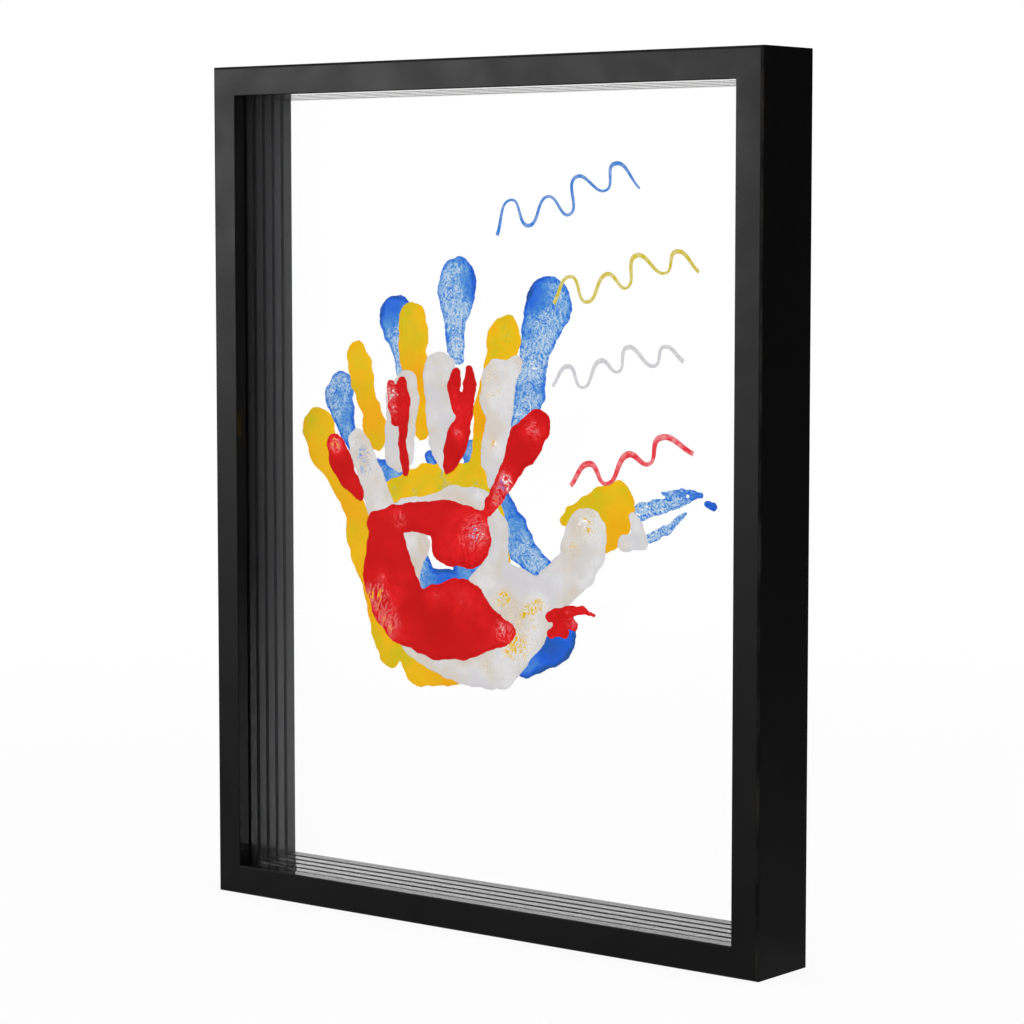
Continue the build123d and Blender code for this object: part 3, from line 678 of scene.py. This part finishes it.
for ink, (hand, finish) in prints.items():
    film = paint_film("handprint_" + ink + "_film", hand, ink + "_print_sheet")
    film.data.materials.append(hand_paint(ink + "_acrylic_paint", **finish))

    # The light is so even that no print shades the next one
    film.visible_shadow = False
    film.visible_diffuse = False

# The pen marks beside the hands: one wavy line drawn with a paint pen on each print's sheet.
# The nib lays a flat line 2 to 3 mm wide with round ends, paler where it ran quickly.
flattened, proud_of_sheet = 0.06, 0.05 * mm


def pen_mark(ink, start, end, waves, swing, width, code):
    """A wavy pen line from start to end, in millimetres from the middle of the window."""
    low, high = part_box(ink + "_print_sheet")
    start, end = Vector(start), Vector(end)
    way = (end - start) / (2 * waves)
    side = Vector((-way.y, way.x)).normalized() * swing
    bpy.ops.object.select_all(action="DESELECT")
    bpy.ops.curve.primitive_bezier_curve_add()
    mark = bpy.context.object
    mark.name = "pen_mark_" + ink
    line = mark.data
    line.dimensions = "3D"
    line.bevel_depth = width / 2 * mm
    line.bevel_resolution = 3
    line.resolution_u = 10
    line.use_fill_caps = True
    spline = line.splines[0]
    spline.bezier_points.add(2 * waves - 1)

    # No two waves have the same height, spacing or pressure
    for number, point in enumerate(spline.bezier_points):
        reach = (1 if number % 2 else -1) * (0.7 + 0.3 * math.sin(1.9 * number + 7 * swing))
        spot = start + way * (number + 0.25 * math.sin(2.3 * number)) + side * reach
        point.co = (spot.x * mm, 0, spot.y * mm)
        point.radius = 0.85 + 0.25 * math.sin(2.7 * number + swing)
        point.handle_left_type = point.handle_right_type = "AUTO"
    bpy.ops.object.convert(target="MESH")
    mark.scale = (1, flattened, 1)
    mark.location = (0, low.y - proud_of_sheet, (low.z + high.z) / 2)
    bpy.ops.object.transform_apply(location=True, rotation=True, scale=True)
    bpy.ops.object.shade_smooth()
    material, tree, output = new_material(ink + "_paint_pen")
    place = add(tree, "TexCoord").outputs["Object"]
    flow = add(tree, "TexNoise", {"Scale": 1 / (2.5 * mm), "Detail": 3}, {"Vector": place})
    deep = linear(code)
    pale = [1 - 0.7 * (1 - c) for c in deep]
    lay = add(tree, "MapRange", {1: 0.4, 2: 0.75}, {0: flow.outputs[0]})
    tone = add(tree, "Mix", {6: deep, 7: pale}, {0: lay.outputs[0]}, data_type="RGBA")
    dull = add(tree, "MapRange", {1: noise_low, 2: noise_high, 3: 0.45, 4: 0.65}, {0: flow.outputs[0]})
    pen = add(
        tree, "BsdfPrincipled", {"Specular IOR Level": 0.15},
        {"Base Color": tone.outputs[2], "Roughness": dull.outputs[0]},
    )
    tree.links.new(pen.outputs[0], output.inputs["Surface"])
    mark.data.materials.append(material)
    mark.visible_shadow = False
    mark.visible_diffuse = False
    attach(mark, "frame")


pen_mark("blue", (-10, 116), (66, 139), waves=4, swing=8, width=1.8, code="#3482d8")
pen_mark("yellow", (26, 86), (101, 104), waves=4, swing=7, width=2.0, code="#d2bf22")
pen_mark("white", (30, 51), (98, 66), waves=4, swing=6, width=2.0, code="#c9c9ce")
pen_mark("red", (44, 10), (104, 27), waves=3, swing=6, width=2.8, code="#e2303c")

# The turn buttons, their screws, and the sawtooth hanger with its nails: pressed and turned steel, zinc
# plated. The buttons turn on their screws in the back of the rails and lap over the retainers.
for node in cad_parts:
    if node.startswith(("turn_button_", "sawtooth_", "hanger_")):
        finish_node(node, bright_zinc)

# The studio: a white table top in a white room. Close to the frame, a tenth of what is seen of the table
# is its own lit surface, which keeps the frame's soft shadow. Further off that share fades to nothing.
fade_start, fade_end, unlit_share = 0.3, 1.2, 0.9


def seen_or_mirrored(tree):
    """1 for what the camera, a reflection or a pane sees, 0 for the light that falls on things."""
    path = add(tree, "LightPath").outputs
    either = add(
        tree, "Math", links={0: path["Is Camera Ray"], 1: path["Is Glossy Ray"]}, operation="MAXIMUM"
    )
    any_of = add(
        tree, "Math", links={0: either.outputs[0], 1: path["Is Transmission Ray"]}, operation="MAXIMUM"
    )
    return any_of.outputs[0]


bpy.ops.object.select_all(action="DESELECT")
bpy.ops.mesh.primitive_plane_add(size=8)
table = bpy.context.object
table.name = "white_table"
white_laminate, tree, output = new_material("white_laminate")
far = add(tree, "VectorMath", links={0: add(tree, "TexCoord").outputs["Object"]}, operation="LENGTH")
share = add(
    tree, "MapRange", {1: fade_start, 2: fade_end, 3: unlit_share, 4: 1}, {0: far.outputs["Value"]}
)
seen = add(
    tree, "Math", links={0: seen_or_mirrored(tree), 1: share.outputs[0]}, operation="MULTIPLY"
)
lit = add(tree, "BsdfDiffuse", {"Color": linear("#f4f4f4")})
bright = add(tree, "Emission", {"Color": (1, 1, 1, 1), "Strength": 1})
top = add(tree, "MixShader", links={0: seen.outputs[0], 1: lit.outputs[0], 2: bright.outputs[0]})
tree.links.new(top.outputs[0], output.inputs["Surface"])
table.data.materials.append(white_laminate)

room = bpy.data.worlds.new("white_room")
bpy.context.scene.world = room
room.use_nodes = True
tree = room.node_tree
tree.nodes.clear()
soft = add(tree, "Background", {"Color": (1, 1, 1, 1), "Strength": 0.85})
white = add(tree, "Background", {"Color": (1, 1, 1, 1), "Strength": 1})
walls = add(tree, "MixShader", links={0: seen_or_mirrored(tree), 1: soft.outputs[0], 2: white.outputs[0]})
sky = tree.nodes.new("ShaderNodeOutputWorld")
tree.links.new(walls.outputs[0], sky.inputs["Surface"])

# Two dark cards behind the frame on its right, one standing and one lying, which only gloss mirrors. They
# keep the right side and the inner left wall dark, with a little light near the floor.


def dark_card(name, size, location, rotation, material):
    """A card of a width and a length, seen by gloss alone."""
    bpy.ops.object.select_all(action="DESELECT")
    bpy.ops.mesh.primitive_plane_add(size=1, location=location, rotation=rotation)
    card = bpy.context.object
    card.name = name
    card.scale = (*size, 1)
    bpy.ops.object.transform_apply(location=True, rotation=True, scale=True)
    card.data.materials.append(material)
    card.visible_camera = False
    card.visible_diffuse = False
    card.visible_transmission = False
    card.visible_shadow = False


grey_felt, tree, output = new_material("grey_felt")
felt = add(tree, "BsdfDiffuse", {"Color": linear("#5a5a5a")})
tree.links.new(felt.outputs[0], output.inputs["Surface"])
dark_card("standing_card", (2, 1.7), (0.8, 0.95, 0.85), (math.pi / 2, 0, math.radians(-39)), grey_felt)

# The lying card is painted pale near the frame and grey further off: a painted pool of light, which the rails
# and inner walls mirror
felt_with_painted_light, tree, output = new_material("felt_with_painted_light")
axes = add(tree, "SeparateXYZ", links={"Vector": add(tree, "TexCoord").outputs["Object"]})
painted_light_falloff = add(tree, "MapRange", {1: 0.03, 2: 0.95}, {0: axes.outputs[1]})
tone = add(
    tree, "Mix", {6: linear("#e4e4e4"), 7: linear("#5a5a5a")}, {0: painted_light_falloff.outputs[0]}, data_type="RGBA"
)
felt = add(tree, "BsdfDiffuse", links={"Color": tone.outputs[2]})
tree.links.new(felt.outputs[0], output.inputs["Surface"])
dark_card("lying_card", (1.8, 1.5), (0.78, 0.78, 2 * mm), (0, 0, 0), felt_with_painted_light)


def softbox(name, spot, target, width, height, power):
    """A soft light at a spot, aimed at a target."""
    turn = (Vector(target) - Vector(spot)).to_track_quat("-Z", "Y").to_euler()
    bpy.ops.object.light_add(type="AREA", location=spot, rotation=turn)
    lamp = bpy.context.object
    lamp.name = name
    lamp.data.shape = "RECTANGLE"
    lamp.data.size = width
    lamp.data.size_y = height
    lamp.data.energy = power
    return lamp


softbox("softbox_front", (0.75, -1.7, 0.95), (0, 0, 0.2), width=1.4, height=1.4, power=11)

# The strip at the front left puts a sheen on the rails alone, strongest on their upper half
sheen = softbox(
    "sheen_front_left", (-0.92, -1.17, 0.42), (0, 0, 0.25), width=0.7, height=0.4, power=31
)
sheen.visible_diffuse = False
sheen.visible_camera = False
rails = bpy.data.collections.new("rails_with_sheen")
for side in ("top", "bottom", "left", "right"):
    rails.objects.link(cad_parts["rail_" + side])
sheen.light_linking.receiver_collection = rails

# The camera, at the photograph's angle: 39 degrees round to the right and a little above the frame's
# middle, with a lens long enough to keep the frame's sides nearly parallel.
eye, aim = Vector((0.87884, -1.09108, 0.3015)), Vector((0.02273, -0.018, 0.18267))
bpy.ops.object.camera_add(location=eye, rotation=(aim - eye).to_track_quat("-Z", "Y").to_euler())
camera = bpy.context.object
camera.data.sensor_width = 36
camera.data.lens = 115.365
bpy.context.scene.camera = camera
bpy.context.scene.view_settings.view_transform = "Standard"
